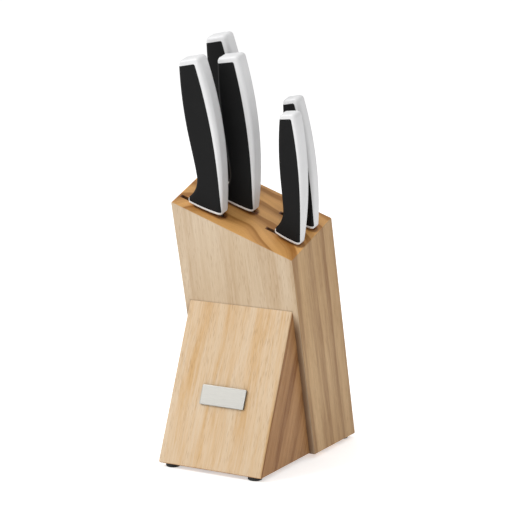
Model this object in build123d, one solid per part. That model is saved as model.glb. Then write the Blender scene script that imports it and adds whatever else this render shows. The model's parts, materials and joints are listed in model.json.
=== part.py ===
from build123d import *
import math
import os

# A leaning knife block on four rubber feet, with a wedge that props its front and five knives.
# Millimetres and degrees. +Z is up, +Y runs from the front of the block to its back, and +X is to
# the right as seen from the front. The origin is under the middle of the whole, on the table.

# The block, in its own leaning frame: x across, y from the front face to the back, z up the lean.
block_width = 105.0
block_thickness = 72.1
block_lean = 14.0
right_edge_length = 173.2
top_slope = 21.6
top_pitch = 6.0
block_round = 1.0
blank_length = 600.0
cut_margin = 10.0
board_names = ["front_board", "second_board", "third_board", "fourth_board", "fifth_board", "back_board"]

# The wedge in front of the block and what fixes it.
wedge_side_inset = 5.1
wedge_length = 128.8
wedge_reach = 82.6
wedge_round = 1.4
dowel_radius = 4.0
dowel_in_board = 10.0
dowel_in_wedge = 15.0
dowel_spacing = 50.0
dowel_height = 52.0

# The plate on the wedge's sloping face.
plate_width = 40.4
plate_height = 16.2
plate_thickness = 1.3
plate_corner = 1.2
plate_bevel = 0.2
plate_centre_up = 60.0
plate_right_of_middle = 0.8
pad_thickness = 0.4
pad_margin = 1.5

# The rubber feet and their screws.
foot_height = 3.2
foot_radius = 6.0
foot_round = 1.6
foot_from_side = 9.5
foot_from_edge = 8.0
screw_radius = 1.5
screw_length = 13.0
screw_head_radius = 2.6
screw_head_height = 1.0
screw_head_sunk = 0.6
screw_head_clearance = 0.2
screw_tip_radius = 0.2
screw_recess = 0.6

# Slots and blades.
slot_width = 3.0
slot_beyond_edge = 3.0
slot_beyond_heel = 9.0
slot_beyond_spine = 1.2
slot_below_tip = 16.0
blade_thickness = 2.0
blade_edge_thickness = 0.5
blade_tip_thickness = 1.3
blade_heel_inset = 1.6
bread_tip_rise = 0.8
bread_nose_bow = 0.45
bread_nose_rise = 2.0
nose_bow = 0.16
scallop_pitch = 5.0
scallop_depth = 0.9
edge_straight = {"carving": 0.62, "chefs": 0.3, "bread": 0.86}
slot_travel = 20.0

# What all five handles share.
bolster_slope = 21.0
bolster_sag = 0.9
bolster_line = 2.6
bolster_corner_round = 1.6
spine_foot = 1.6
heel_draft = 0.5
heel_round = 2.2
heel_wrap = 1.5
heel_wrap_round = 1.4
heel_wrap_drop = 0.4
grip_head_round = 1.6
grip_foot_round = 0.6
grip_belly_wall = 3.6
tang_hole_radius = 2.2

# The handles, in the knife's own frame: x from the belly to the spine, y through the thickness and
# z along the knife towards the butt. The origin is the spine's corner of the bolster.
large_handle = {
    "length": 131.6, "thickness": 13.6, "spine_rise": 9.7, "spine_at": 74.3, "butt_spine": 4.9,
    "butt_belly": -14.3, "butt_angle": 7.5, "belly": -18.1, "belly_at": 71.3, "neck": -16.8,
    "neck_at": 34.3, "heel": -28.1, "heel_at": 15.2, "strip": (1.2, 5.0, 4.4), "cap": 4.4,
    "rim_round": 3.0, "butt_round": 3.6, "core": 7.6, "blade_inset": 2.6, "tang_foot": -7.5,
    "tang_head": -4.5, "tang_length": 94.0, "tang_width": 8.0,
}
small_handle = {
    "length": 111.3, "thickness": 11.6, "spine_rise": 6.9, "spine_at": 65.2, "butt_spine": 3.4,
    "butt_belly": -11.0, "butt_angle": 9.0, "belly": -14.1, "belly_at": 57.2, "neck": -13.2,
    "neck_at": 29.2, "heel": -21.5, "heel_at": 12.2, "strip": (1.2, 3.6, 3.9), "cap": 3.8,
    "rim_round": 3.0, "butt_round": 3.6, "core": 6.4, "blade_inset": 6.0, "tang_foot": -6.6,
    "tang_head": -3.8, "tang_length": 78.0, "tang_width": 6.0,
}

# Each knife: its handle, how its blade is shaped, where its spine corner stands in the block's
# frame, its sideways lean, and how long and how wide the blade is.
knives = {
    "carving_knife": {"handle": large_handle, "blade": "carving", "x": -11.3, "slot": 12.9, "up": 203.1,
                      "lean": -2.6, "length": 200.0, "width": 27.0},
    "chefs_knife": {"handle": large_handle, "blade": "chefs", "x": 4.5, "slot": 35.4, "up": 198.2,
                    "lean": 0.0, "length": 200.0, "width": 42.0},
    "bread_knife": {"handle": large_handle, "blade": "bread", "x": -11.3, "slot": 56.9, "up": 207.7,
                    "lean": -2.6, "length": 200.0, "width": 27.0},
    "utility_knife": {"handle": small_handle, "blade": "carving", "x": 49.9, "slot": 23.5, "up": 178.2,
                      "lean": 3.6, "length": 125.0, "width": 15.0},
    "paring_knife": {"handle": small_handle, "blade": "carving", "x": 50.3, "slot": 48.7, "up": 181.6,
                     "lean": -2.0, "length": 90.0, "width": 14.0},
}


def sin(angle):
    return math.sin(math.radians(angle))


def cos(angle):
    return math.cos(math.radians(angle))


def tan(angle):
    return math.tan(math.radians(angle))


def in_block(shape):
    """Move a shape from the block's leaning frame to the upright one."""
    return Pos(0, 0, foot_height) * Rot(block_lean, 0, 0) * shape


def in_slot(knife, shape):
    """Move a shape from a knife's frame to where the knife stands."""
    return in_block(Pos(knife["x"], knife["slot"], knife["up"]) * Rot(0, knife["lean"], 0) * shape)


def block_blank():
    """The glued-up block before the slots: square sides, a top that falls right and forward."""
    blank = Box(block_width, block_thickness, blank_length, align=(Align.CENTER, Align.MIN, Align.CENTER))
    top_normal = (tan(top_slope), -tan(top_pitch), 1)
    top = Plane(origin=(block_width / 2, 0, right_edge_length), z_dir=top_normal)
    underside = Plane(origin=(0, 0, 0), z_dir=(0, tan(block_lean), 1))
    blank = split(blank, bisect_by=top, keep=Keep.BOTTOM)
    blank = split(blank, bisect_by=underside, keep=Keep.TOP)
    return fillet(blank.edges(), block_round)


def slot_cutter(knife):
    """A slot from above the block to below the blade's tip, at the knife's own sideways lean."""
    spine = -knife["handle"]["blade_inset"]
    edge = spine - knife["width"]
    left = min(edge - slot_beyond_edge, knife["handle"]["heel"] - slot_beyond_heel)
    right = spine + slot_beyond_spine
    depth = knife["length"] + slot_below_tip
    above = knife["handle"]["heel_at"] + cut_margin
    cutter = Box(right - left, slot_width, depth + above)
    cutter = Pos((left + right) / 2, 0, (above - depth) / 2) * cutter
    return Pos(knife["x"], knife["slot"], knife["up"]) * Rot(0, knife["lean"], 0) * cutter


def boards():
    """The block's boards, one solid each. Every slot is milled in its board's front face."""
    blank = block_blank()
    joints = sorted(knife["slot"] - slot_width / 2 for knife in knives.values())
    faces = [0.0] + joints + [block_thickness]
    made = {}
    for name, front, back in zip(board_names, faces, faces[1:]):
        layer = Pos(0, (front + back) / 2, 0) * Box(block_width + cut_margin, back - front, blank_length)
        board = blank & layer
        for knife in knives.values():
            if front < knife["slot"] < back:
                board -= slot_cutter(knife)
        made[name] = in_block(board)
    return made


def wedge():
    """The triangular prop, with its back on the block's front face."""
    width = block_width - 2 * wedge_side_inset
    apex = (-wedge_length * sin(block_lean), wedge_length * cos(block_lean))
    side = make_face(Polyline((-wedge_reach, 0), (0, 0), apex, close=True))
    solid = Pos(-width / 2, 0, foot_height) * extrude(Plane.YZ * side, amount=width)
    outer = [e for e in solid.edges() if e.center().Y < -wedge_reach / 3]
    outer.remove(max(outer, key=lambda e: e.center().Z))
    return fillet(outer, wedge_round)


def dowels():
    """Two dowels, square to the block's front face, half in the wedge and half in the board."""
    dowel = Rot(90, 0, 0) * Cylinder(dowel_radius, dowel_in_board + dowel_in_wedge)
    dowel = Pos(0, (dowel_in_board - dowel_in_wedge) / 2, dowel_height) * dowel
    return [in_block(Pos(side * dowel_spacing / 2, 0, 0) * dowel) for side in (-1, 1)]


def wedge_face():
    """The plane of the wedge's sloping face: x to the right and y up the slope, from its foot."""
    rise = wedge_length * cos(block_lean)
    run = wedge_reach - wedge_length * sin(block_lean)
    return Plane(origin=(0, -wedge_reach, foot_height), x_dir=(1, 0, 0), z_dir=(0, -rise, run))


def plate_and_pad():
    """The blank steel plate and the thin pad that sticks it to the wedge."""
    pad = Box(plate_width - 2 * pad_margin, plate_height - 2 * pad_margin, pad_thickness)
    pad = Pos(plate_right_of_middle, plate_centre_up, pad_thickness / 2) * pad
    outline = RectangleRounded(plate_width, plate_height, plate_corner)
    plate = extrude(outline, amount=plate_thickness)
    plate = Pos(plate_right_of_middle, plate_centre_up, pad_thickness) * plate
    plate = chamfer(plate.faces().sort_by(Axis.Z)[-1].edges(), plate_bevel)
    return wedge_face() * plate, wedge_face() * pad


def foot_places():
    """Each foot's name and the place of its centre on the table."""
    front_y = foot_from_edge - wedge_reach
    back_y = block_thickness / cos(block_lean) - foot_from_edge
    front_x = block_width / 2 - wedge_side_inset - foot_from_side
    back_x = block_width / 2 - foot_from_side
    return {
        "foot_front_left": (-front_x, front_y),
        "foot_front_right": (front_x, front_y),
        "foot_rear_left": (-back_x, back_y),
        "foot_rear_right": (back_x, back_y),
    }


def foot_screw():
    """A pan-head screw with a cross recess, head down, standing on the table plane."""
    head_top = screw_head_sunk + screw_head_height
    bottom_up = (Align.CENTER, Align.CENTER, Align.MIN)
    head = Pos(0, 0, screw_head_sunk) * Cylinder(screw_head_radius, screw_head_height, align=bottom_up)
    shank = Pos(0, 0, head_top) * Cylinder(screw_radius, screw_length - screw_radius, align=bottom_up)
    point = Cone(screw_radius, screw_tip_radius, screw_radius, align=bottom_up)
    point = Pos(0, 0, head_top + screw_length - screw_radius) * point
    arm = Box(2 * screw_radius, screw_recess, screw_head_height, align=Align.CENTER)
    recess = Pos(0, 0, screw_head_sunk) * (arm + Rot(0, 0, 90) * arm)
    return head + shank + point - recess


def rubber_foot():
    """A low round foot, its lower rim rounded, with a sunk hole for its screw."""
    bottom_up = (Align.CENTER, Align.CENTER, Align.MIN)
    foot = Cylinder(foot_radius, foot_height, align=bottom_up)
    foot = fillet(foot.edges().sort_by(Axis.Z)[0], foot_round)
    sunk = screw_head_sunk + screw_head_height
    foot -= Cylinder(screw_head_radius + screw_head_clearance, sunk, align=bottom_up)
    return foot - Cylinder(screw_radius, foot_height, align=bottom_up)


def bolster_point(size, share, raised=0.0):
    """A point on the handle's bowed foot, from 0 at the spine to 1 at the heel."""
    across = size["heel"] * share
    bow = 4 * bolster_sag * share * (1 - share)
    return (across, raised - across * tan(bolster_slope) - bow)


def handle_outline(size):
    """The side view of a handle: bowed foot, blunt heel, hollow, belly, slanted butt and spine."""
    butt_drop = (size["butt_spine"] - size["butt_belly"]) * tan(size["butt_angle"])
    heel_low = bolster_point(size, 1)
    heel_high = (size["heel"] + heel_draft, size["heel_at"])
    neck = (size["neck"], size["neck_at"])
    belly = (size["belly"], size["belly_at"])
    butt_belly = (size["butt_belly"], size["length"] - butt_drop)
    butt_spine = (size["butt_spine"], size["length"])
    spine = (size["spine_rise"], size["spine_at"])
    edges = [
        ThreePointArc((0, 0), bolster_point(size, 0.5), heel_low),
        Line(heel_low, heel_high),
        TangentArc(neck, heel_high, tangent=(0, -1)),
        Spline(neck, belly, butt_belly, tangents=[(0, 1), (0.16, 1)]),
        Line(butt_belly, butt_spine),
        ThreePointArc(butt_spine, spine, (0, 0)),
    ]
    face = make_face(edges)
    face = rounded_corner(face, heel_low, heel_round)
    face = rounded_corner(face, butt_belly, size["butt_round"])
    return rounded_corner(face, butt_spine, size["butt_round"])


def rounded_corner(face, place, radius):
    """Round the one corner of a flat face that is nearest to a place."""
    corner = face.vertices().sort_by_distance((place[0], place[1], 0))[0]
    return fillet(corner, radius)


def handle_body(size):
    """The whole handle, core and grip together, with its long edges and its butt rounded."""
    body = slab(handle_outline(size), size["thickness"])
    rim = [e for e in body.edges() if abs(e.center().Y) > size["thickness"] / 2 - 0.001]
    rim = [e for e in rim if distance_above_bolster(e) > 0.3 and e.length > heel_draft + 3]
    body = fillet(rim, size["rim_round"])
    return fillet(body.edges().sort_by_distance((0, 0, 0))[0], bolster_corner_round)


def distance_above_bolster(edge):
    """How far an edge's middle lies above the bolster line, up the knife."""
    return edge.center().Z + edge.center().X * tan(bolster_slope)


def grip_region(size):
    """The side view of the soft grip: inside the spine strip, the butt cap and the white foot."""
    butt_slope = tan(size["butt_angle"])
    lower, middle, upper = size["strip"]
    far = 2 * size["heel"]
    foot = bolster_point(size, (spine_foot - lower) / size["heel"], bolster_line)
    bow = bolster_point(size, 0.5, bolster_line)
    heel = bolster_point(size, 1 + heel_wrap / size["heel"], bolster_line)
    heel_top = (heel[0], size["heel_at"] - heel_wrap_drop)
    far_heel = (far, heel_top[1])
    waist = (size["spine_rise"] - middle, size["spine_at"])
    head = (size["butt_spine"] - upper, size["length"] - size["cap"] - upper * butt_slope)
    far_head = (far, head[1] - (head[0] - far) * butt_slope)
    edges = [
        ThreePointArc(heel, bow, foot),
        Spline(foot, waist, head),
        Line(head, far_head),
        Line(far_head, far_heel),
        Line(far_heel, heel_top),
        Line(heel_top, heel),
    ]
    face = rounded_corner(make_face(edges), head, grip_head_round)
    face = rounded_corner(face, heel, heel_wrap_round)
    return rounded_corner(face, foot, grip_foot_round)


def soft_grip(size, body):
    """The overmoulded grip: both cheeks and the belly of the handle, around the core's rib."""
    region = grip_region(size)
    grip = body & slab(region, size["thickness"])
    rib = Pos(grip_belly_wall, 0, 0) * handle_outline(size) & region
    return grip - slab(rib, size["core"])


def tang_outline(size):
    """The tang's side view: a flat bar with a round end and two holes, up from the bolster line."""
    foot = Vector(size["tang_foot"], -size["tang_foot"] * tan(bolster_slope))
    head = Vector(size["tang_head"], size["tang_length"])
    half = size["tang_width"] / 2
    across = Vector(half, 0)
    along_bolster = Vector(half, -half * tan(bolster_slope))
    sides = (foot - along_bolster, foot + along_bolster, head + across, head - across)
    sides = Polyline(*sides, close=True)
    bar = make_face(sides) + Pos(head.X, head.Y) * Circle(half)
    for part_way in (0.4, 0.8):
        hole = foot + (head - foot) * part_way
        bar -= Pos(hole.X, hole.Y) * Circle(tang_hole_radius)
    return bar


def blade_outline(knife):
    """The blade's side view, from just inside the handle's foot down to its tip."""
    spine = -knife["handle"]["blade_inset"]
    edge = spine - knife["width"]
    guard = knife["handle"]["heel"] + blade_heel_inset
    heel_height = -max(edge, guard) * tan(bolster_slope)
    tip_height = heel_height - knife["length"]
    belly_start = (edge, heel_height - edge_straight[knife["blade"]] * knife["length"])
    shoulder = (max(edge, guard), heel_height)
    heel = (edge, heel_height)
    top = (spine, -spine * tan(bolster_slope))
    if knife["blade"] == "bread":
        tip = (spine, tip_height + knife["width"] * bread_tip_rise)
        low = (edge + knife["width"] * bread_nose_bow, tip_height + bread_nose_rise)
        nose = ThreePointArc(belly_start, low, tip)
    else:
        tip = (spine - 1, tip_height)
        low = (Vector(*belly_start) + Vector(*tip)) / 2 - Vector(knife["width"] * nose_bow, 0)
        nose = ThreePointArc(belly_start, low, tip)
    lines = [Line(top, shoulder), Line(heel, belly_start), nose, Line(tip, top)]
    if edge < guard:
        lines.append(Line(shoulder, heel))
    face = make_face(lines)
    if knife["blade"] == "bread":
        count = int((heel[1] - belly_start[1] - scallop_pitch) / scallop_pitch)
        radius = (scallop_pitch ** 2 / 4 + scallop_depth ** 2) / (2 * scallop_depth)
        for index in range(count):
            height = heel[1] - (index + 1.5) * scallop_pitch
            face -= Pos(edge + scallop_depth - radius, height) * Circle(radius)
    return face


def grind(knife):
    """The space a blade is ground to: thin at the edge, and thinner towards the tip."""
    spine = 1 - knife["handle"]["blade_inset"]
    edge = spine - knife["width"] - 2
    half = blade_thickness / 2
    thin = blade_edge_thickness / 2
    across = make_face(Polyline((spine, -half), (spine, half), (edge, thin), (edge, -thin), close=True))
    across = Pos(0, 0, -knife["length"]) * extrude(across, amount=2 * knife["length"])
    top = 2 * knife["handle"]["heel_at"]
    low = -knife["length"]
    tip = blade_tip_thickness / 2
    along = Polyline((-half, top), (half, top), (half, 0), (tip, low), (-tip, low), (-half, 0), close=True)
    along = Pos(edge, 0, 0) * extrude(Plane.YZ * make_face(along), amount=spine - edge)
    return across & along


def blade(knife):
    """The stamped and ground blade with its tang."""
    ground = slab(blade_outline(knife), blade_thickness) & grind(knife)
    return ground + slab(tang_outline(knife["handle"]), blade_thickness)


def slab(face, thickness):
    """A side-view face, made a slab of a thickness that is centred on the knife's middle plane."""
    return extrude(Plane.XZ * face, amount=thickness / 2, both=True)


def knife_parts(name, knife):
    """One knife's blade, white core and soft grip, standing in its slot."""
    body = handle_body(knife["handle"])
    steel = blade(knife)
    body -= slab(blade_outline(knife), blade_thickness)
    grip = soft_grip(knife["handle"], body)
    core = body - grip - steel
    shapes = {"blade": steel, "handle": core, "grip": grip}
    return {f"{name}_{piece}": in_slot(knife, shape) for piece, shape in shapes.items()}


def slide_axis(knife):
    """The direction in which a knife draws out of its slot."""
    across = sin(knife["lean"])
    along = cos(knife["lean"])
    return (across, -sin(block_lean) * along, cos(block_lean) * along)


def slide_travel(knife):
    """How far a knife draws before its tip is clear of the block."""
    return knife["length"] + slot_travel


def assembly():
    """Every piece by name, in a frame whose origin is on the table below the middle."""
    parts = boards()
    parts["front_wedge"] = wedge()
    pegs = dowels()
    for peg in pegs:
        parts["front_wedge"] -= peg
        parts["front_board"] -= peg
    parts["wedge_dowels"] = Compound(pegs)
    parts["name_plate"], parts["plate_adhesive_pad"] = plate_and_pad()
    screws = []
    for name, (x, y) in foot_places().items():
        parts[name] = Pos(x, y, 0) * rubber_foot()
        screws.append(Pos(x, y, 0) * foot_screw())
    for screw in screws:
        parts["front_wedge"] -= screw
        parts["back_board"] -= screw
    parts["foot_screws"] = Compound(screws)
    for name, knife in knives.items():
        parts.update(knife_parts(name, knife))
    box = Compound(list(parts.values())).bounding_box()
    middle = Pos(-box.center().X, -box.center().Y, -box.min.Z)
    return {name: middle * shape for name, shape in parts.items()}


os.makedirs("parts", exist_ok=True)
for node, shape in assembly().items():
    export_step(shape, f"parts/{node}.step")
    print(node, len(shape.solids()), round(shape.volume))
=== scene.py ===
# %% [markdown]
# # A knife block with five knives
# A leaning hardwood block stands on rubber feet, propped by a wedge. Five knives stand in its slots.
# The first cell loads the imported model, whose pieces keep their places. Everything after it adds
# finishes, a few finer pieces, lights and a camera around that frame.

# %% Load the frame
import json
import math

import bpy
from mathutils import Matrix, Vector


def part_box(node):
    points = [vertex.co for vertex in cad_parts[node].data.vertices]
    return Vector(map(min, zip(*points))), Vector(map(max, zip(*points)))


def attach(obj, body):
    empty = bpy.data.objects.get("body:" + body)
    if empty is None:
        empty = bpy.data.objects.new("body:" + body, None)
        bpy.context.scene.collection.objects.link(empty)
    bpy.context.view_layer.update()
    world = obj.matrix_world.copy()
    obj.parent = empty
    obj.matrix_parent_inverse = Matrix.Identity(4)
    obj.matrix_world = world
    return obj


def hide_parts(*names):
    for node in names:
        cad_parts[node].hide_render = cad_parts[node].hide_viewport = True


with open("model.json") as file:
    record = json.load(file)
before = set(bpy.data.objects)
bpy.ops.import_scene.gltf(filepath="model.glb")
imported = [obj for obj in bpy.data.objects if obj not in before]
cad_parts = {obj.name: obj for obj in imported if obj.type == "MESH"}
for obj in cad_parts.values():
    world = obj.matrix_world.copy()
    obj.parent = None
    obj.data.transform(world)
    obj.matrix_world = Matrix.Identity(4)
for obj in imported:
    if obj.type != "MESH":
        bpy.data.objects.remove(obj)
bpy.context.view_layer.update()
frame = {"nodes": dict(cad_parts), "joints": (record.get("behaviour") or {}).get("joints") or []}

nodes = frame["nodes"]

# %% [markdown]
# The block leans, and its grain runs up the lean. The middle knife draws straight up the lean, so its
# slide gives the direction of the grain without a number being typed twice. The wedge's grain runs up
# its own slope, which is measured on its mesh: the outward direction of its largest front face.

# %% Directions and groups of pieces
slides = {joint["child"]: Vector(joint["axis"]) for joint in frame["joints"]}
lean_axis = slides["chefs_knife"]
across_axis = Vector((1.0, 0.0, 0.0))
lean = math.atan2(-lean_axis.y, lean_axis.z)
out_of_front = Vector((0.0, -math.cos(lean), -math.sin(lean)))

wedge_faces = nodes["front_wedge"].data.polygons
slope_face = max((face for face in wedge_faces if face.normal.y < -0.5), key=lambda face: face.area)
slope_out = slope_face.normal.copy()
slope_turn = math.atan2(-slope_out.y, slope_out.z)

knife_names = sorted(slides)
board_names = sorted(name for name in nodes if name.endswith("_board"))
foot_names = sorted(name for name in nodes if name.startswith("foot_") and name != "foot_screws")
print("lean", round(math.degrees(lean), 2), "slope", round(math.degrees(slope_turn), 2))
print("knives", len(knife_names), "boards", len(board_names), "feet", len(foot_names))


def reach(node, axis):
    """The lowest and highest place of a piece along a direction."""
    along = [vertex.co.dot(axis) for vertex in nodes[node].data.vertices]
    return min(along), max(along)


# %% [markdown]
# ## Small helpers for materials
# Each finish is a material with its own shader. What several finishes share, such as the grain, is a
# node group that is built once. These helpers only keep the node code short: one adds a node and sets
# its values, and the others wrap the nodes that are used most.

# %% Node helpers
def add_node(tree, kind, inputs=None, **settings):
    node = tree.nodes.new(kind)
    for key, value in settings.items():
        setattr(node, key, value)
    for key, value in (inputs or {}).items():
        if isinstance(value, bpy.types.NodeSocket):
            tree.links.new(value, node.inputs[key])
        else:
            node.inputs[key].default_value = value
    return node


def maths(tree, operation, first, second=0.0, third=0.0):
    inputs = {0: first, 1: second, 2: third}
    return add_node(tree, "ShaderNodeMath", inputs, operation=operation).outputs[0]


def vector_maths(tree, operation, first, second):
    return add_node(tree, "ShaderNodeVectorMath", {0: first, 1: second}, operation=operation).outputs


def smooth_step(tree, value, low, high):
    inputs = {0: value, 1: low, 2: high}
    return add_node(tree, "ShaderNodeMapRange", inputs, interpolation_type="SMOOTHSTEP").outputs[0]


def mix_colours(tree, factor, first, second, blend="MIX"):
    inputs = {0: factor, 6: first, 7: second}
    return add_node(tree, "ShaderNodeMix", inputs, data_type="RGBA", blend_type=blend).outputs[2]


def ramp(tree, value, stops):
    node = add_node(tree, "ShaderNodeValToRGB", {0: value})
    node.color_ramp.elements[0].position = stops[0][0]
    node.color_ramp.elements[1].position = stops[-1][0]
    for place, colour in stops[1:-1]:
        node.color_ramp.elements.new(place)
    for element, (place, colour) in zip(node.color_ramp.elements, stops):
        element.color = (*colour, 1.0)
    return node.outputs[0]


def weighted(tree, first, share, second):
    """A mix of two values, the first with this share and the second with the rest."""
    return maths(tree, "MULTIPLY_ADD", first, share, maths(tree, "MULTIPLY", second, 1 - share))


def noise(tree, vector, scale, detail=2.0, roughness=0.5):
    inputs = {"Vector": vector, "Scale": scale, "Detail": detail, "Roughness": roughness}
    return add_node(tree, "ShaderNodeTexNoise", inputs).outputs[0]


def stretched(tree, place, across, along, detail=2.0, roughness=0.5):
    """Noise that is drawn out along the grain, with this many cycles to the unit each way."""
    spread = vector_maths(tree, "MULTIPLY", place, (across, across, along))[0]
    return noise(tree, spread, 1.0, detail, roughness)


def unsettled(tree, place, across, along, push):
    """Places that a slow noise has pushed about across the grain, up to half of push each way."""
    spread = vector_maths(tree, "MULTIPLY", place, (across, across, along))[0]
    inputs = {"Vector": spread, "Scale": 1.0, "Detail": 2.0}
    shift = add_node(tree, "ShaderNodeTexNoise", inputs).outputs[1]
    shift = vector_maths(tree, "SUBTRACT", shift, (0.5, 0.5, 0.5))[0]
    shift = vector_maths(tree, "MULTIPLY", shift, (push, push, 0.0))[0]
    return vector_maths(tree, "ADD", place, shift)[0]


def new_group(name, inputs, outputs):
    group = bpy.data.node_groups.new(name, "ShaderNodeTree")
    for label, kind in inputs.items():
        group.interface.new_socket(label, in_out="INPUT", socket_type=f"NodeSocket{kind}")
    for label in outputs:
        group.interface.new_socket(label, in_out="OUTPUT", socket_type="NodeSocketFloat")
    return group, group.nodes.new("NodeGroupInput").outputs


def finish_group(group, values):
    leave = group.nodes.new("NodeGroupOutput")
    for label, value in values.items():
        group.links.new(value, leave.inputs[label])
    print("group", group.name, "nodes", len(group.nodes))


def new_material(name, **constants):
    material = bpy.data.materials.new(name)
    material.use_nodes = True
    tree = material.node_tree
    shader = tree.nodes["Principled BSDF"]
    for key, value in constants.items():
        shader.inputs[key.replace("_", " ")].default_value = value
    place = add_node(tree, "ShaderNodeTexCoord").outputs
    return material, tree, shader, place


def add_bump(tree, shader, height, distance, strength=1.0):
    inputs = {"Height": height, "Distance": distance, "Strength": strength}
    bump = add_node(tree, "ShaderNodeBump", inputs)
    tree.links.new(bump.outputs[0], shader.inputs["Normal"])


def paint(node, material):
    slots = nodes[node].data.materials
    slots.clear()
    slots.append(material)


# %% [markdown]
# ## The wood
# The block is a pale tropical hardwood, oiled. A tree grows in rings round its heart, so one field of
# rings round one heart line serves every face: it gives broad curved bands on the sawn top, and long
# faint bands on the faces along the grain. The boards were sawn from one blank and kept in order, so
# they share the field. A painted picture of wood would be simpler, but it would have to be fitted to
# each face, and it would not meet at the edges.
#
# The group works in millimetres, with its third axis along the grain. A slow noise pushes the rings
# out of round. The late wood of each year is darker and ends sharply, and a second noise makes the
# years differ.

# %% Rings of growth
wood_group, wood_in = new_group(
    "wood_grain",
    {"Place": "Vector", "Facing": "Vector", "Grain": "Vector", "Ring Width": "Float"},
    ["Streak", "Ring", "Fibre", "Pores", "End", "Side", "Cloud", "Height"])
place_mm = wood_in["Place"]
bent = unsettled(wood_group, place_mm, 0.016, 0.003, 24.0)
bent = vector_maths(wood_group, "MULTIPLY", bent, (1.0, 1.0, 0.0))[0]
from_heart = vector_maths(wood_group, "LENGTH", bent, (0.0, 0.0, 0.0))["Value"]
age = maths(wood_group, "DIVIDE", from_heart, wood_in["Ring Width"])
year = maths(wood_group, "FRACT", age)
late = smooth_step(wood_group, year, 0.25, 0.88)
late = maths(wood_group, "MULTIPLY", late, smooth_step(wood_group, year, 1.0, 0.90))
season = {"W": age, "Scale": 1.3, "Detail": 6.0, "Roughness": 0.62}
season = add_node(wood_group, "ShaderNodeTexNoise", season, noise_dimensions="1D").outputs[0]
ring = maths(wood_group, "MULTIPLY_ADD", late, 0.38, maths(wood_group, "MULTIPLY", season, 0.75))

# %% [markdown]
# Most of what shows on a planed face is finer than the rings. Three noises drawn out along the grain
# stand for it: streaks and blotches of tone that wander a little, the fine threads of the fibre, and
# slow clouds. The short dark dashes are pores that the plane cut open lengthwise, and on the sawn end
# they show as dots. They are the hearts of long thin cells, and come in crowds with clear wood
# between.

# %% Streaks and pores
wander = unsettled(wood_group, place_mm, 0.022, 0.011, 7.0)
streak = stretched(wood_group, wander, 0.13, 0.0075, 5.0, 0.80)
fibre = stretched(wood_group, place_mm, 1.5, 0.022, 3.0, 0.65)
cloud = stretched(wood_group, place_mm, 0.022, 0.009, 3.0)

grain_cells = vector_maths(wood_group, "MULTIPLY", place_mm, (1.3, 1.3, 0.095))[0]
grain_cells = add_node(wood_group, "ShaderNodeTexVoronoi", {"Vector": grain_cells, "Scale": 1.0})
pores = smooth_step(wood_group, grain_cells.outputs["Distance"], 0.36, 0.12)
crowded = smooth_step(wood_group, stretched(wood_group, place_mm, 0.22, 0.012), 0.30, 0.56)
pores = maths(wood_group, "MULTIPLY", pores, crowded)
relief = maths(wood_group, "MULTIPLY_ADD", pores, -0.7, maths(wood_group, "MULTIPLY", fibre, 0.35))

# %% [markdown]
# The group also says which way a face looks: along the grain, as a sawn end does, or sideways, as a
# board's edge does. Each mask is the cosine of an angle, stepped softly from none to whole. Two
# separate materials for face and end would need the mesh's faces to be sorted, and would meet in a
# hard line.

# %% Which way a face looks
along_grain = vector_maths(wood_group, "DOT_PRODUCT", wood_in["Facing"], wood_in["Grain"])["Value"]
end = smooth_step(wood_group, maths(wood_group, "ABSOLUTE", along_grain), 0.62, 0.86)
sideways = vector_maths(wood_group, "DOT_PRODUCT", wood_in["Facing"], tuple(across_axis))["Value"]
side = smooth_step(wood_group, maths(wood_group, "ABSOLUTE", sideways), 0.55, 0.9)
finish_group(wood_group, {"Streak": streak, "Ring": ring, "Fibre": fibre, "Pores": pores, "End": end,
                          "Side": side, "Cloud": cloud, "Height": relief})

# %% [markdown]
# ### Painted shade
# Shade is painted into the wood's colour where the handles' feet nearly touch the top, on the walls
# and mouths of the slots, and in the corner beside the wedge. A second group gives three masks for
# that painted shade: feet, slots, and the corner beside the wedge.
# They start from where a place lies: how far forward, how far across the block and how far up the
# lean. An ambient occlusion node could find such places by itself, but it would change as a knife is
# drawn.

# %% Measures of a place on the block
block_left, block_right = reach("front_board", across_axis)
front_plane = reach("front_board", out_of_front)[1]
shade_group, shade_in = new_group("slot_shade", {"Place": "Vector"}, ["Foot", "Slot", "Corner"])
depth_in, across_in, up_in = (
    vector_maths(shade_group, "DOT_PRODUCT", shade_in["Place"], tuple(axis))["Value"]
    for axis in (out_of_front, across_axis, lean_axis))
print("block from", round(block_left, 4), "to", round(block_right, 4))


def beyond(left, right):
    """How far a place lies outside a stretch of the block's width."""
    before = maths(shade_group, "SUBTRACT", left, across_in)
    after = maths(shade_group, "SUBTRACT", across_in, right)
    return maths(shade_group, "MAXIMUM", maths(shade_group, "MAXIMUM", before, after), 0.0)


def squared(value):
    return maths(shade_group, "MULTIPLY", value, value)


def both(first, second):
    return maths(shade_group, "MULTIPLY", first, second)


def either(first, second):
    return maths(shade_group, "MAXIMUM", first, second)


# %% [markdown]
# Each knife adds to two of the masks. The first is the footprint of its handle, a strip with round
# ends that is measured on the handle's lowest stretch. The second is the slot that its blade stands
# in: a little thicker than the blade, and starting well before the handle's foot on the side of the
# edge.

# %% Shade under the handles and in the slots
foot_rise = 0.014
foot_outside, foot_inside = 0.0002, 0.0022
slot_gap, slot_fade = 0.0006, 0.0005
slot_early, slot_short, slot_end_fade = 0.010, 0.002, 0.0010
side_wall = 0.004


def handle_foot(name):
    """Where the lowest stretch of a knife's handle starts and ends across the block."""
    top_of_foot = reach(f"{name}_handle", slides[name])[0] + foot_rise
    handle = nodes[f"{name}_handle"].data.vertices
    across = [vertex.co.x for vertex in handle if vertex.co.dot(slides[name]) < top_of_foot]
    return min(across), max(across)


# foot_mask paints shade on the wood under each handle's foot; slot_mask paints shade on the slot's
# walls and round its mouth.
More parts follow.
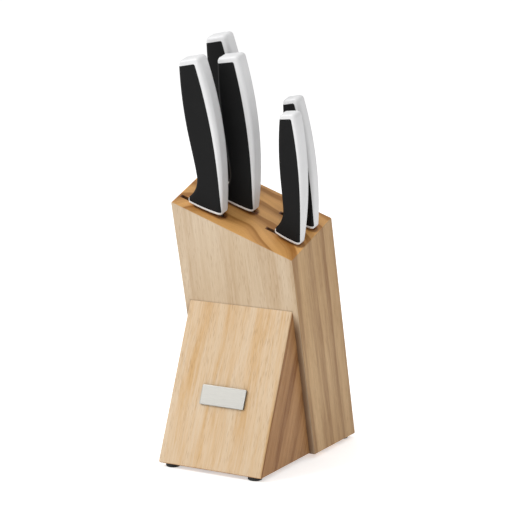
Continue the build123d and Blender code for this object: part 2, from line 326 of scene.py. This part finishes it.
foot_mask, slot_mask = 0.0, 0.0
for name in knife_names:
    left, right = handle_foot(name)
    nearest, farthest = reach(f"{name}_handle", out_of_front)
    half = (farthest - nearest) / 2
    ahead = maths(shade_group, "SUBTRACT", depth_in, (nearest + farthest) / 2)
    aside = beyond(left + half, right - half)
    apart = maths(shade_group, "SQRT", maths(shade_group, "ADD", squared(aside), squared(ahead)))
    footprint = smooth_step(shade_group, apart, half + foot_outside, half - foot_inside)
    foot_mask = either(foot_mask, footprint)

    blade_near, blade_far = reach(f"{name}_blade", out_of_front)
    slot_half = (blade_far - blade_near) / 2 + slot_gap
    off_middle = maths(shade_group, "ABSOLUTE", ahead)
    inside = smooth_step(shade_group, off_middle, slot_half + slot_fade, slot_half)
    slot_right = min(right - slot_short, block_right - side_wall)
    ended = smooth_step(shade_group, beyond(left - slot_early, slot_right), slot_end_fade, 0.0)
    slot_mask = either(slot_mask, both(inside, ended))
    print(name, "foot from", round(left, 4), "to", round(right, 4))

# %% [markdown]
# The wedge is dowelled and glued to the front, and is a little narrower than the block. The strip of
# the front beside it is a deep corner, painted with shade that deepens towards the wedge, and a thin
# line of painted shade runs along the wedge's top edge. Both lie on the front's plane only, so that
# the block's rounded edges stay clean.

# %% Shade beside the wedge
corner_width = 0.0085
corner_rise = 0.02
line_above, line_below = 0.0016, 0.0002
line_strength, line_end_fade = 0.5, 0.0005
plane_outside, plane_inside = 0.0010, 0.0002
wedge_left, wedge_right = reach("front_wedge", across_axis)
wedge_top = reach("front_wedge", lean_axis)[1]
beside_wedge = beyond(wedge_left, wedge_right)
# Painted shade in the corner of the front beside the wedge, deepest at the wedge's side.
corner = smooth_step(shade_group, beside_wedge, corner_width, 0.0)
corner = both(corner, smooth_step(shade_group, up_in, wedge_top, wedge_top - corner_rise))
# A thin line of painted shade along the wedge's top edge.
top_edge_shade_line = smooth_step(shade_group, up_in, wedge_top + line_above, wedge_top - line_below)
within = both(smooth_step(shade_group, beside_wedge, line_end_fade, 0.0), line_strength)
corner = either(corner, both(top_edge_shade_line, within))
on_front = smooth_step(shade_group, depth_in, front_plane - plane_outside, front_plane - plane_inside)
corner = both(corner, on_front)
finish_group(shade_group, {"Foot": foot_mask, "Slot": slot_mask, "Corner": corner})

# %% [markdown]
# ### The finish of each wooden piece
# Each wooden piece gets its own material round the grain group. A board's wide face and its sawn edge
# cut the rings at different angles, so the edge is deeper in tone and more strongly streaked; its tone
# is also darkened with painted shade, for the block's right-hand side that stands in half shade. The
# sawn end drinks more oil than either, and turns a golden brown. Each tone is a pale and a deep
# colour that the streaks run between. The Mapping node makes metres into millimetres and turns the
# piece back by its lean, so that its grain stands upright and the heart of the tree is at the middle.

# %% Wood finishes
mm_in_m = 1000.0
# The colour that the painted shade multiplies the block's wood by.
shade_tone = (0.22, 0.13, 0.07, 1.0)
foot_strength, corner_strength = 0.7, 0.85
side_ring_share, end_ring_share = 0.35, 0.62
pore_tone = (0.28, 0.14, 0.055, 1.0)
oil_tones = [(0.35, (0.93, 0.89, 0.82)), (0.65, (1.0, 1.0, 1.0))]
thread_tones = [(0.30, (0.90, 0.87, 0.83)), (0.52, (1.0, 1.0, 1.0)), (0.72, (1.04, 1.04, 1.05))]


def tone_between(tree, value, pair):
    pale, deep = pair
    middle = tuple(0.62 * p + 0.38 * d for p, d in zip(pale, deep))
    return ramp(tree, value, [(0.35, pale), (0.50, middle), (0.66, deep)])


def darkened(tree, colour, part, place):
    """The colour of the block's wood, with painted shade under the handles, in the slots and beside
    the wedge.
    """
    inputs = {"Place": place["Object"]}
    shade = add_node(tree, "ShaderNodeGroup", inputs, node_tree=shade_group).outputs
    on_end = maths(tree, "MULTIPLY", part["End"], foot_strength)
    under_foot = maths(tree, "MULTIPLY", shade["Foot"], on_end)
    in_corner = maths(tree, "MULTIPLY", shade["Corner"], corner_strength)
    dark = maths(tree, "MAXIMUM", maths(tree, "MAXIMUM", under_foot, in_corner), shade["Slot"])
    return mix_colours(tree, dark, colour, mix_colours(tree, 1.0, colour, shade_tone, "MULTIPLY"))


def wood_finish(name, turn, heart, ring_width, face, side, end, ring_share=0.3, shaded=False):
    material, tree, shader, place = new_material(name, Specular_IOR_Level=0.3)
    heart_upright = Matrix.Rotation(-turn, 3, "X") @ heart
    inputs = {"Vector": place["Object"], "Rotation": (-turn, 0.0, 0.0), "Scale": (mm_in_m,) * 3,
              "Location": tuple(-mm_in_m * heart_upright)}
    upright = add_node(tree, "ShaderNodeMapping", inputs).outputs[0]
    inputs = {"Place": upright, "Facing": place["Normal"], "Ring Width": ring_width,
              "Grain": (0.0, -math.sin(turn), math.cos(turn))}
    part = add_node(tree, "ShaderNodeGroup", inputs, node_tree=wood_group).outputs
    faint = tone_between(tree, weighted(tree, part["Ring"], ring_share, part["Streak"]), face)
    strong = tone_between(tree, weighted(tree, part["Ring"], side_ring_share, part["Streak"]), side)
    sawn = tone_between(tree, weighted(tree, part["Ring"], end_ring_share, part["Cloud"]), end)
    colour = mix_colours(tree, part["End"], mix_colours(tree, part["Side"], faint, strong), sawn)
    if shaded:
        colour = darkened(tree, colour, part, place)
    colour = mix_colours(tree, 1.0, colour, ramp(tree, part["Cloud"], oil_tones), "MULTIPLY")
    colour = mix_colours(tree, 1.0, colour, ramp(tree, part["Fibre"], thread_tones), "MULTIPLY")
    cut_open = maths(tree, "MULTIPLY_ADD", part["End"], -0.24, 0.36)
    colour = mix_colours(tree, maths(tree, "MULTIPLY", part["Pores"], cut_open), colour, pore_tone)
    tree.links.new(colour, shader.inputs["Base Color"])
    rough = maths(tree, "MULTIPLY_ADD", part["Streak"], 0.14, 0.42)
    rough = maths(tree, "MULTIPLY_ADD", part["Pores"], 0.2, rough)
    tree.links.new(rough, shader.inputs["Roughness"])
    add_bump(tree, shader, part["Height"], 0.00012, 0.7)
    return material


# %% [markdown]
# The block's heart line stands a little in front of it, because the bands on the sawn top bulge away
# from its front. The boards differ by a touch of tone, in three steps. The wedge was cut from another
# piece of the same wood: its heart lies off to the right and in front, its grain runs up its slope,
# and its side is darker than the block's, more orange in the wood and darkened further with painted
# shade, as it stands half lit beside the block's front.

# %% Painting the wood
heart_ahead, heart_left = 0.030, 0.003
board_ring_mm, wedge_ring_mm, dowel_ring_mm = 17.0, 21.0, 5.0
tone_step = 0.012
block_middle = (block_left + block_right) / 2
block_heart = out_of_front * (front_plane + heart_ahead) + across_axis * (block_middle - heart_left)

face_tones = ((0.695, 0.570, 0.425), (0.550, 0.404, 0.262))
# The side tones are deeper for the edge grain, and darker still with painted shade for the half-lit
# right-hand side.
side_grain_and_shade_tones = ((0.630, 0.425, 0.225), (0.345, 0.190, 0.080))
end_tones = ((0.830, 0.455, 0.155), (0.425, 0.180, 0.037))
for index, name in enumerate(board_names):
    touch = 1.0 - tone_step * (index % 3)
    board_face = tuple(tuple(touch * c for c in tone) for tone in face_tones)
    board_tones = (board_face, side_grain_and_shade_tones, end_tones)
    finish = wood_finish(f"oiled_{name}", lean, block_heart, board_ring_mm, *board_tones, shaded=True)
    paint(name, finish)

wedge_heart_right, wedge_heart_ahead = 0.11, 0.09
wedge_ring_share = 0.18
wedge_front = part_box("front_wedge")[0].y
wedge_heart = Vector((block_middle + wedge_heart_right, wedge_front - wedge_heart_ahead, 0.0))
wedge_face = ((0.730, 0.585, 0.425), (0.635, 0.405, 0.190))
# The wedge's side is more orange in the wood and also darkened with painted shade.
wedge_side_grain_and_shade = ((0.500, 0.275, 0.120), (0.255, 0.110, 0.036))
wedge_tones = (wedge_face, wedge_side_grain_and_shade, wedge_side_grain_and_shade)
wedge_turn = slope_turn - math.pi / 2
finish = wood_finish("oiled_wedge", wedge_turn, wedge_heart, wedge_ring_mm, *wedge_tones,
                     ring_share=wedge_ring_share)
paint("front_wedge", finish)
dowel_tones = (face_tones, side_grain_and_shade_tones, end_tones)
paint("wedge_dowels", wood_finish("plain_dowel", lean, block_heart, dowel_ring_mm, *dowel_tones))
print("boards painted", len(board_names), "and the wedge with its dowels")

# %% [markdown]
# ## Plastics and rubber
# The handle's core is a hard white plastic with the faint unevenness of a mould that has been
# polished. The grip is a soft black overmoulding with a very fine texture that takes the shine away.
# The feet are a duller rubber, and the pad behind the plate is a foam tape. All four are one recipe
# with their own values: broad clouds that shift tone and gloss a little, and a fine grain in the
# surface.

# %% Plastic and rubber finishes
def moulded(name, colour, deep, roughness, grain_scale, grain_depth, **constants):
    material, tree, shader, place = new_material(name, **constants)
    fine = noise(tree, place["Object"], grain_scale, 2.0, 0.6)
    broad = noise(tree, place["Object"], 45.0, 3.0, 0.55)
    tree.links.new(ramp(tree, broad, [(0.35, deep), (0.65, colour)]), shader.inputs["Base Color"])
    rough = maths(tree, "MULTIPLY_ADD", broad, 0.14, roughness - 0.07)
    rough = maths(tree, "MULTIPLY_ADD", fine, 0.08, rough)
    tree.links.new(rough, shader.inputs["Roughness"])
    add_bump(tree, shader, fine, grain_depth)
    return material


white_plastic = moulded("white_hard_plastic", (0.775, 0.775, 0.78), (0.745, 0.745, 0.75),
                        roughness=0.34, grain_scale=900.0, grain_depth=0.00002)
soft_grip = moulded("black_soft_grip", (0.0062, 0.0063, 0.0066), (0.0042, 0.0043, 0.0046),
                    roughness=0.55, grain_scale=2600.0, grain_depth=0.00004, Specular_IOR_Level=0.16)
foot_rubber = moulded("foot_rubber", (0.022, 0.022, 0.022), (0.013, 0.013, 0.013),
                      roughness=0.7, grain_scale=1500.0, grain_depth=0.00006)
pad_foam = moulded("adhesive_foam", (0.30, 0.30, 0.29), (0.24, 0.24, 0.23),
                   roughness=0.8, grain_scale=2000.0, grain_depth=0.00008)
paint("plate_adhesive_pad", pad_foam)
for name in knife_names:
    paint(f"{name}_handle", white_plastic)
    paint(f"{name}_grip", soft_grip)
print("moulded finishes on", 1 + 2 * len(knife_names), "pieces, and rubber for the feet")

# %% [markdown]
# ## Steel
# Sheet steel is brushed in one direction, which leaves fine parallel scratches, and a blade is ground
# across its width. Both are noise that is stretched far along one axis, which varies the tone, the
# gloss and the height together. The zinc of the screws has no direction. The plate was cut from its
# sheet with shears, and its cut edges get painted shade: a mask on the way the surface faces turns
# the tone down wherever it turns away from the plate's face.

# %% Steel finishes
plate_edge_shade_tone = (0.22, 0.21, 0.19, 1.0)


def brushed_steel(name, stretch, colour, roughness, depth, face=None):
    material, tree, shader, place = new_material(name, Metallic=1.0)
    drawn = vector_maths(tree, "MULTIPLY", place["Object"], stretch)[0]
    lines = noise(tree, drawn, 1.0, 4.0, 0.7)
    cloud = noise(tree, place["Object"], 60.0, 2.0)
    worn = tuple(0.84 * c for c in colour)
    tone = ramp(tree, lines, [(0.3, worn), (0.7, colour)])
    # Painted shade on the plate's cut edges: the faces that turn away from its face get a darker tone.
    if face:
        facing = vector_maths(tree, "DOT_PRODUCT", place["Normal"], tuple(face))["Value"]
        edge_shade_mask = smooth_step(tree, facing, 0.80, 0.30)
        tone = mix_colours(tree, edge_shade_mask, tone, mix_colours(tree, 1.0, tone, plate_edge_shade_tone, "MULTIPLY"))
    tree.links.new(tone, shader.inputs["Base Color"])
    rough = maths(tree, "MULTIPLY_ADD", lines, 0.16, roughness - 0.1)
    rough = maths(tree, "MULTIPLY_ADD", cloud, 0.08, rough)
    tree.links.new(rough, shader.inputs["Roughness"])
    add_bump(tree, shader, lines, depth)
    return material


plate_steel = brushed_steel("brushed_plate", (120.0, 7000.0, 7000.0), (0.555, 0.545, 0.51),
                            roughness=0.40, depth=0.00001, face=slope_out)
blade_steel = brushed_steel("ground_blade", (140.0, 6000.0, 6000.0), (0.50, 0.505, 0.515),
                            roughness=0.28, depth=0.000006)
screw_steel = brushed_steel("zinc_screw", (2000.0, 2000.0, 2000.0), (0.60, 0.61, 0.63),
                            roughness=0.38, depth=0.00001)
paint("foot_screws", screw_steel)
for name in knife_names:
    paint(f"{name}_blade", blade_steel)
print("blades painted", len(knife_names))

# %% [markdown]
# ## Modelling by hand
# Two kinds of piece get a finer shape here than the frame gives them, made with the tools that one
# would use by hand: a primitive at its size, then inset, extrude and bevel in edit mode. These
# helpers pick faces and edges by their place, because nobody is there to click on them.

# %% Modelling helpers
smooth_below = math.radians(35.0)


def clear_selection():
    if bpy.context.object and bpy.context.object.mode != "OBJECT":
        bpy.ops.object.mode_set(mode="OBJECT")
    bpy.ops.object.select_all(action="DESELECT")


def pick(piece, mode, wanted):
    """Select the faces or edges of a piece, in edit mode, that a test wants, and nothing else."""
    bpy.ops.mesh.select_mode(type=mode)
    bpy.ops.mesh.select_all(action="DESELECT")
    bpy.ops.object.mode_set(mode="OBJECT")
    mesh = piece.data
    items = mesh.polygons if mode == "FACE" else mesh.edges
    for item in items:
        if mode == "FACE":
            item.select = wanted(item.center, item.normal)
        else:
            first, second = (mesh.vertices[index].co for index in item.vertices)
            item.select = wanted((first + second) / 2, second - first)
    bpy.ops.object.mode_set(mode="EDIT")


def finish_piece(piece, name, body, node, material):
    """Leave edit mode, settle the piece at the origin, give it its finish and body, and hide the
    frame's node that it replaces.
    """
    bpy.ops.object.mode_set(mode="OBJECT")
    bpy.ops.object.transform_apply(location=True, rotation=True, scale=True)
    bpy.ops.object.shade_smooth_by_angle(angle=smooth_below)
    piece.name = name
    piece.data.materials.append(material)
    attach(piece, body)
    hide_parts(node)
    print(name, "faces", len(piece.data.polygons))


# %% [markdown]
# ### The feet
# Each foot is a moulded rubber button, screwed on through its middle. It tapers towards the wood,
# which lets it leave its mould, and has a rounded rim, two fine rings in the tread for grip, and a
# sunk seat for the screw's head. The cylinder is turned into that by narrowing its top, bevelling its
# lower rim, and insetting and sinking the tread in steps, from the rim inwards. A lathed profile
# would do as well, but its rings would have to be drawn point by point.

# %% Rubber feet
foot_rim = 0.0013
foot_taper = 0.93
ring_depth = 0.0004
screw_seat_radius = 0.0029
screw_seat_depth = 0.0016
screw_seat_slope = 0.0001


def inset(thickness, depth=0.0):
    bpy.ops.mesh.inset(thickness=thickness, depth=depth)


def rubber_foot(node):
    low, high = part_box(node)
    middle_of_foot = (low + high) / 2
    radius = (high.x - low.x) / 2
    clear_selection()
    bpy.ops.mesh.primitive_cylinder_add(vertices=72, radius=radius, depth=high.z - low.z,
                                        location=middle_of_foot)
    piece = bpy.context.object
    bpy.ops.object.transform_apply(location=True)
    bpy.ops.object.mode_set(mode="EDIT")
    pick(piece, "FACE", lambda centre, normal: normal.z > 0.9)
    bpy.ops.transform.resize(value=(foot_taper, foot_taper, 1.0), center_override=middle_of_foot)
    pick(piece, "EDGE", lambda middle, run: middle.z < low.z + 1e-5)
    bpy.ops.mesh.bevel(offset=foot_rim, segments=6, affect="EDGES")
    pick(piece, "FACE", lambda centre, normal: normal.z < -0.999)
    tread = radius - foot_rim - screw_seat_radius
    for ring_in_tread in range(2):
        inset(tread / 5)
        inset(tread / 20, -ring_depth)
        inset(tread / 10)
        inset(tread / 20, ring_depth)
    inset(tread / 5)
    inset(screw_seat_slope, -screw_seat_depth)
    finish_piece(piece, f"rubber_{node}", "block", node, foot_rubber)


for node in foot_names:
    rubber_foot(node)

# %% [markdown]
# ### The plate
# The plate is a blank of sheet steel with rounded corners. Its rim is rolled over a little, so that
# it catches a line of light, and its face is pressed in by a tenth of a millimetre. It is modelled
# lying flat at the origin, then turned to the wedge's slope and carried to its place. Its size and
# place are measured on the frame's plate along the slope's own directions.

# %% Plate
plate_corner = 0.0012
plate_rim = 0.00045
rim_roll = 0.00018
face_sink = 0.0001
slope_up = Vector((0.0, math.cos(slope_turn), math.sin(slope_turn)))
plate_spans = [reach("name_plate", axis) for axis in (across_axis, slope_up, slope_out)]
plate_size = Vector([high - low for low, high in plate_spans])
plate_centre = Vector([(low + high) / 2 for low, high in plate_spans])
plate_centre = Matrix.Rotation(slope_turn, 3, "X") @ plate_centre
half_length, half_height, top = plate_size / 2


def on_rim(middle, run):
    """Whether an edge lies on the outer rim of the plate's upper face."""
    level = middle.z > top - 1e-6 and abs(run.z) < 1e-6
    at_an_end = abs(middle.x) > half_length - plate_corner
    at_a_side = abs(middle.y) > half_height - 1e-6
    outermost = max(abs(middle.x) - half_length, abs(middle.y) - half_height) > -plate_rim / 2
    return level and (at_an_end or at_a_side) and outermost


clear_selection()
bpy.ops.mesh.primitive_cube_add(size=1.0)
plate = bpy.context.object
plate.scale = plate_size
bpy.ops.object.transform_apply(scale=True)
bpy.ops.object.mode_set(mode="EDIT")
pick(plate, "EDGE", lambda middle, run: abs(run.z) > top)
bpy.ops.mesh.bevel(offset=plate_corner, segments=8, affect="EDGES")
pick(plate, "FACE", lambda centre, normal: normal.z > 0.9)
inset(plate_rim)
inset(face_sink, -face_sink)
pick(plate, "EDGE", on_rim)
bpy.ops.mesh.bevel(offset=rim_roll, segments=4, affect="EDGES")
bpy.ops.object.mode_set(mode="OBJECT")
plate.rotation_euler = (slope_turn, 0.0, 0.0)
plate.location = plate_centre
finish_piece(plate, "brushed_name_plate", "block", "name_plate", plate_steel)

# %% [markdown]
# ## Floor, light and camera
# The set is a white sweep. The floor glows a little, as a lit sweep does, and lifts the shadows under
# the wedge. To the camera it glows more, so that it stays white round the feet.

# %% Floor
floor_glow = 0.22
floor_seen = 0.5
floor_radius = 40.0
material, tree, shader, place = new_material("pale_floor", Roughness=0.9)
looked_at = add_node(tree, "ShaderNodeLightPath").outputs["Is Camera Ray"]
glow = maths(tree, "MULTIPLY_ADD", looked_at, floor_seen - floor_glow, floor_glow)
tree.links.new(glow, shader.inputs["Emission Strength"])
worn = noise(tree, place["Object"], 2.0, 2.0)
floor_tone = ramp(tree, worn, [(0.3, (0.87, 0.87, 0.87)), (0.7, (0.89, 0.89, 0.89))])
tree.links.new(floor_tone, shader.inputs["Base Color"])
shader.inputs["Emission Color"].default_value = (1.0, 1.0, 1.0, 1.0)
clear_selection()
bpy.ops.mesh.primitive_circle_add(vertices=96, radius=floor_radius, fill_type="NGON")
floor = bpy.context.object
floor.name = "studio_floor"
floor.data.materials.append(material)
print("floor laid, radius in m", floor_radius)

# %% [markdown]
# The sky lights everything softly and evenly. It is white to the eye but dimmer as a light, so that
# the set stays white and the surfaces keep their tone, and the Light Path node tells the two apart. A
# large lamp high on the left gives the front its light and leaves the right-hand side in half shade.
# A weaker one overhead, a little behind, brightens the sawn top and the ends of the handles.

# %% Sky and lamps
sky_light = 0.62
world = bpy.data.worlds.new("studio")
bpy.context.scene.world = world
world.use_nodes = True
seen = add_node(world.node_tree, "ShaderNodeLightPath").outputs["Is Camera Ray"]
brightness = maths(world.node_tree, "MULTIPLY_ADD", seen, 1.0 - sky_light, sky_light)
background = world.node_tree.nodes["Background"]
background.inputs["Color"].default_value = (1.0, 1.0, 1.0, 1.0)
world.node_tree.links.new(brightness, background.inputs["Strength"])
bpy.context.scene.view_settings.view_transform = "Standard"


def soft_light(name, place, aim, size, power):
    lamp = bpy.data.lights.new(name, "AREA")
    lamp.shape = "DISK"
    lamp.size = size
    lamp.energy = power
    light = bpy.data.objects.new(name, lamp)
    bpy.context.scene.collection.objects.link(light)
    light.location = place
    light.rotation_euler = (Vector(aim) - Vector(place)).to_track_quat("-Z", "Y").to_euler()
    print(name, "power in W", power)


aim = (0.0, 0.0, 0.15)
soft_light("key_light", (-1.3, -1.2, 1.7), aim, size=1.2, power=26.0)
soft_light("top_light", (0.1, 0.5, 2.0), aim, size=1.4, power=6.0)

# %% [markdown]
# The camera stands a step to the right of the front and a little above the block, far enough away for
# a long lens that keeps the block's edges almost parallel.

# %% Camera
azimuth = math.radians(29.48)
elevation = math.radians(11.71)
target = Vector((-0.01542, -0.00214, 0.13197))
distance = 1.5769
flat = math.cos(elevation)
back = Vector((math.sin(azimuth) * flat, -math.cos(azimuth) * flat, math.sin(elevation)))
lens = bpy.data.cameras.new("camera")
lens.lens = 135.5
lens.sensor_width = 36.0
lens.shift_x = 0.0235
lens.shift_y = 0.0747
camera = bpy.data.objects.new("camera", lens)
bpy.context.scene.collection.objects.link(camera)
camera.location = target + back * distance
camera.rotation_euler = (-back).to_track_quat("-Z", "Y").to_euler()
bpy.context.scene.camera = camera
print("camera at", [round(value, 3) for value in camera.location])
